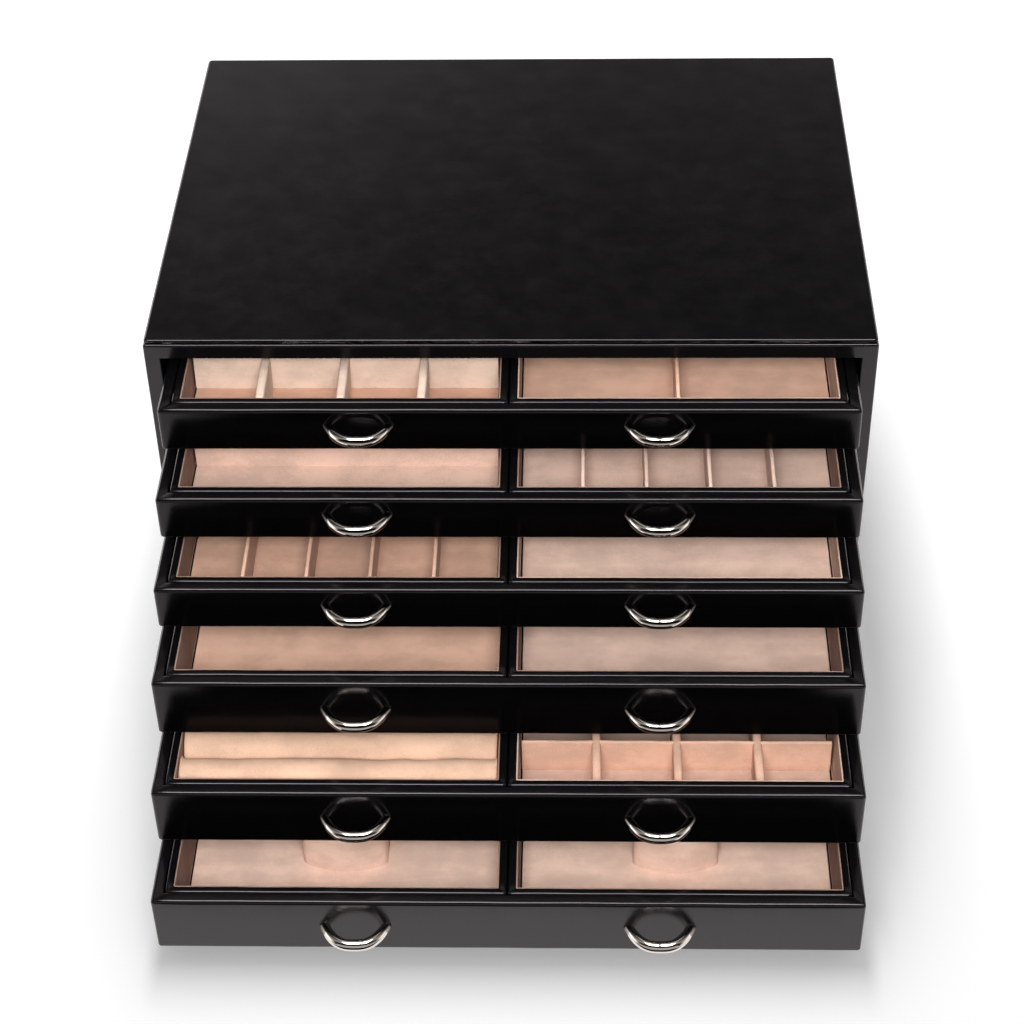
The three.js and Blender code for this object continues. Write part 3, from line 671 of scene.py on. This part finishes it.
def addWorld():
    # plain light all round and a white room in view; mirrors see a band overhead, a pale room behind the
    # chest and a spot to each side
    world = bpy.data.worlds.new("studio")
    bpy.context.scene.world = world
    world.use_nodes = True
    tree = world.node_tree
    plain = tree.nodes["Background"]
    plain.inputs["Color"].default_value = room["seen"]
    plain.inputs["Strength"].default_value = room["light"]
    seen = newNode(tree, "ShaderNodeBackground", {"Color": room["seen"], "Strength": 1.0})
    direction = newNode(tree, "ShaderNodeTexCoord", {}).outputs["Generated"]
    split = newNode(tree, "ShaderNodeSeparateXYZ", {"Vector": direction}).outputs
    parts = {"x": split["X"], "y": split["Y"], "z": split["Z"]}
    parts["aside"] = addMath(tree, "ABSOLUTE", addMath(tree, "SUBTRACT", parts["x"], room["middle"]))
    parts["outward"] = addMath(tree, "ADD", addMath(tree, "ABSOLUTE", parts["x"]),
                               addMath(tree, "MULTIPLY", parts["y"], room["slant"]))
    strengths = [addMath(tree, "MULTIPLY", *(addRamp(tree, parts[part], *ramp) for part, *ramp in ramps))
                 for ramps in glows.values()]
    glow = {"Color": room["glow"], "Strength": addMath(tree, "ADD", *strengths)}
    mirrored = newNode(tree, "ShaderNodeBackground", glow).outputs["Background"]
    rays = newNode(tree, "ShaderNodeLightPath", {}).outputs
    mirrors = {"Fac": rays["Is Glossy Ray"], 1: plain.outputs["Background"], 2: mirrored}
    inMirror = newNode(tree, "ShaderNodeMixShader", mirrors).outputs["Shader"]
    either = addMath(tree, "MAXIMUM", rays["Is Camera Ray"], rays["Is Transmission Ray"])
    view = {"Fac": either, 1: inMirror, 2: seen.outputs["Background"]}
    inView = newNode(tree, "ShaderNodeMixShader", view).outputs["Shader"]
    tree.links.new(inView, tree.nodes["World Output"].inputs["Surface"])


def addSheet(name, corners):
    # a flat sheet of the stage, with the nodes of its material
    mesh = bpy.data.meshes.new(name)
    mesh.from_pydata(corners, [], [(0, 1, 2, 3)])
    sheet = bpy.data.objects.new(name, mesh)
    bpy.context.scene.collection.objects.link(sheet)
    material = bpy.data.materials.new(name)
    material.use_nodes = True
    mesh.materials.append(material)
    return sheet, material.node_tree


# its glow in view goes by the distance from the chest. In mirrors it shows a painted reflection: its
# brightness there goes by how far it is in front of the drawers, and by how far it is outside a wedge whose
# edges have faint painted streaks
tableTop = {"half": 6.0, "white": 0.9, "roughness": 0.9, "glow": (0.6, 1.6, 0.3, 1.0),
            "mirrored": 1.15, "mirrorColour": (1.0, 0.96, 0.93, 1), "front": (-0.3955, -0.391, 0.0, 1.0),
            "wedge": (-0.031, -0.003, 0.0, 1.0), "wedgeMiddle": -0.005, "wedgeSlope": 0.5,
            "streaks": (90, 5, 1), "streakWidth": 0.008}


def addTable():
    # a white table that takes the shadow. In mirrors it shows a painted reflection: white round the chest
    # and to both sides, and a dark wedge in front of the drawers
    half = tableTop["half"]
    corners = [(-half, -half, 0), (half, -half, 0), (half, half, 0), (-half, half, 0)]
    sheet, tree = addSheet("floor", corners)
    rays = newNode(tree, "ShaderNodeLightPath", {}).outputs
    place = newNode(tree, "ShaderNodeNewGeometry", {}).outputs["Position"]
    split = newNode(tree, "ShaderNodeSeparateXYZ", {"Vector": place}).outputs
    away = newNode(tree, "ShaderNodeVectorMath", {0: place}, operation="LENGTH").outputs["Value"]
    glow = addMath(tree, "MULTIPLY", rays["Is Camera Ray"], addRamp(tree, away, *tableTop["glow"]))
    shader = tree.nodes["Principled BSDF"]
    tree.links.new(glow, shader.inputs["Emission Strength"])
    surface = {"Base Color": (tableTop["white"],) * 3 + (1,), "Roughness": tableTop["roughness"],
               "Specular IOR Level": 0.0, "Emission Color": (1, 1, 1, 1)}
    for key, value in surface.items():
        shader.inputs[key].default_value = value
    side = addMath(tree, "ABSOLUTE", addMath(tree, "SUBTRACT", split["X"], tableTop["wedgeMiddle"]))
    along = newNode(tree, "ShaderNodeMapping", {"Vector": place, "Scale": tableTop["streaks"]})
    streaks = addRamp(tree, addNoise(tree, along.outputs["Vector"], 1, 1, 0.5), *middle,
                      -tableTop["streakWidth"], tableTop["streakWidth"])
    slope = addMath(tree, "MULTIPLY", split["Y"], tableTop["wedgeSlope"])
    wedge = addMath(tree, "ADD", side, streaks, slope)
    bright = addMath(tree, "MAXIMUM", addRamp(tree, split["Y"], *tableTop["front"]),
                     addRamp(tree, wedge, *tableTop["wedge"]))
    strength = addMath(tree, "MULTIPLY", bright, tableTop["mirrored"])
    white = {"Color": tableTop["mirrorColour"], "Strength": strength}
    white = newNode(tree, "ShaderNodeEmission", white).outputs["Emission"]
    mirrors = {"Fac": rays["Is Glossy Ray"], 1: shader.outputs["BSDF"], 2: white}
    inMirror = newNode(tree, "ShaderNodeMixShader", mirrors).outputs["Shader"]
    tree.links.new(inMirror, tree.nodes["Material Output"].inputs["Surface"])
    return sheet


card = {"half": 0.5, "front": -0.67, "height": 0.265, "glow": 0.5}


def addCard():
    # a white card that stands on the table in front of the chest and is seen in mirrors only
    half, front, height = card["half"], card["front"], card["height"]
    corners = [(-half, front, 0), (-half, front, height), (half, front, height), (half, front, 0)]
    sheet, tree = addSheet("card", corners)
    glow = {"Color": tableTop["mirrorColour"], "Strength": card["glow"]}
    glow = newNode(tree, "ShaderNodeEmission", glow).outputs["Emission"]
    tree.links.new(glow, tree.nodes["Material Output"].inputs["Surface"])
    sheet.visible_camera = sheet.visible_diffuse = sheet.visible_shadow = False


# where each lamp stands, where it points, its width and length, its watts, and whether it lights the table
lamps = {"stripLeft": ((-0.125, -0.2, 1.35), (-0.125, -0.2, 0), (0.28, 1.9), 5.5, False),
         "stripRight": ((0.195, -0.2, 1.35), (0.195, -0.2, 0), (0.28, 1.9), 5.5, False),
         "front": ((0.02, -1.2, 1.02), (0, -0.27, 0.11), (0.5, 0.4), 18.5, False),
         "table": ((-0.05, 0.5, 1.5), (-0.05, 0.5, 0), (0.28, 1.6), 21.0, True)}


def addLamp(name, table):
    # lights either the table alone or all but the table
    place, aim, size, power, onTable = lamps[name]
    data = bpy.data.lights.new(name, "AREA")
    data.shape = "RECTANGLE"
    data.size, data.size_y = size
    data.energy = power
    lamp = bpy.data.objects.new(name, data)
    line = np.array(aim) - np.array(place)
    line = line / np.linalg.norm(line)
    steep = abs(line[2]) > 0.9  # a lamp that points nearly straight down can't be squared to the upright
    side = np.cross(line, (0, 1, 0) if steep else (0, 0, 1))
    side = side / np.linalg.norm(side)
    turned = Matrix(np.column_stack([side, np.cross(side, line), -line]).tolist()).to_4x4()
    lamp.matrix_world = Matrix.Translation(place) @ turned
    lamp.visible_camera = False
    lamp.visible_glossy = False
    bpy.context.scene.collection.objects.link(lamp)
    reach = bpy.data.collections.new(f"{name}Reach")
    reach.objects.link(table)
    lamp.light_linking.receiver_collection = reach
    reach.collection_objects[0].light_linking.link_state = "INCLUDE" if onTable else "EXCLUDE"
    return lamp


def passBy(lamp, pieces):
    # the lamp stands for a light too wide for these thin pieces to cast a shadow of their own
    spared = bpy.data.collections.new(f"{lamp.name}Spares")
    for piece in pieces:
        spared.objects.link(piece)
    lamp.light_linking.blocker_collection = spared
    for entry in spared.collection_objects:
        entry.light_linking.link_state = "EXCLUDE"


addCamera()
addWorld()
table = addTable()
addCard()
lit = {name: addLamp(name, table) for name in lamps}
print("camera, table and lamps placed")

finish = makeMaterials()
felt = frame["nodes"]["base_felt"].data.materials
felt.clear()
felt.append(finish["felt"])
print("materials made")

makeCase(finish)
print("case covered")

pulls = []
for name in drawerNames:
    box = makeBox(f"{name}_box", name, drawerWork, finish)
    # the upper drawers' fronts wear the darker copy of the leather, painted shade; the lowest drawer's
    # front keeps the plain black
    faceFront(box, finish["lowFaceLeather" if name == drawerNames[-1] else "faceLeather"])
    for side in ("left", "right"):
        makeBox(f"{name}_{side}_tray", name, trayWork, finish)
        makeLiner(f"{name}_{side}_liner", name, finish)
        pulls.append(makePull(f"{name}_{side}_pull", name, f"{name}_box", finish))
passBy(lit["table"], pulls)
print("drawers, trays, liners and pulls made")

makeCellGrid("drawer_1_left_cell_grid", "drawer_1", finish)
makeDivider("drawer_1_right_divider", "drawer_1", finish)
makeRolls("drawer_5_left_ring_rolls", "drawer_5", finish)
makeCellGrid("drawer_5_right_cell_grid", "drawer_5", finish)
for side in ("left", "right"):
    makeIsland(f"drawer_6_{side}_island", "drawer_6", finish)
print("dividers, ring rolls and islands made")

bpy.context.scene.view_settings.view_transform = "Standard"
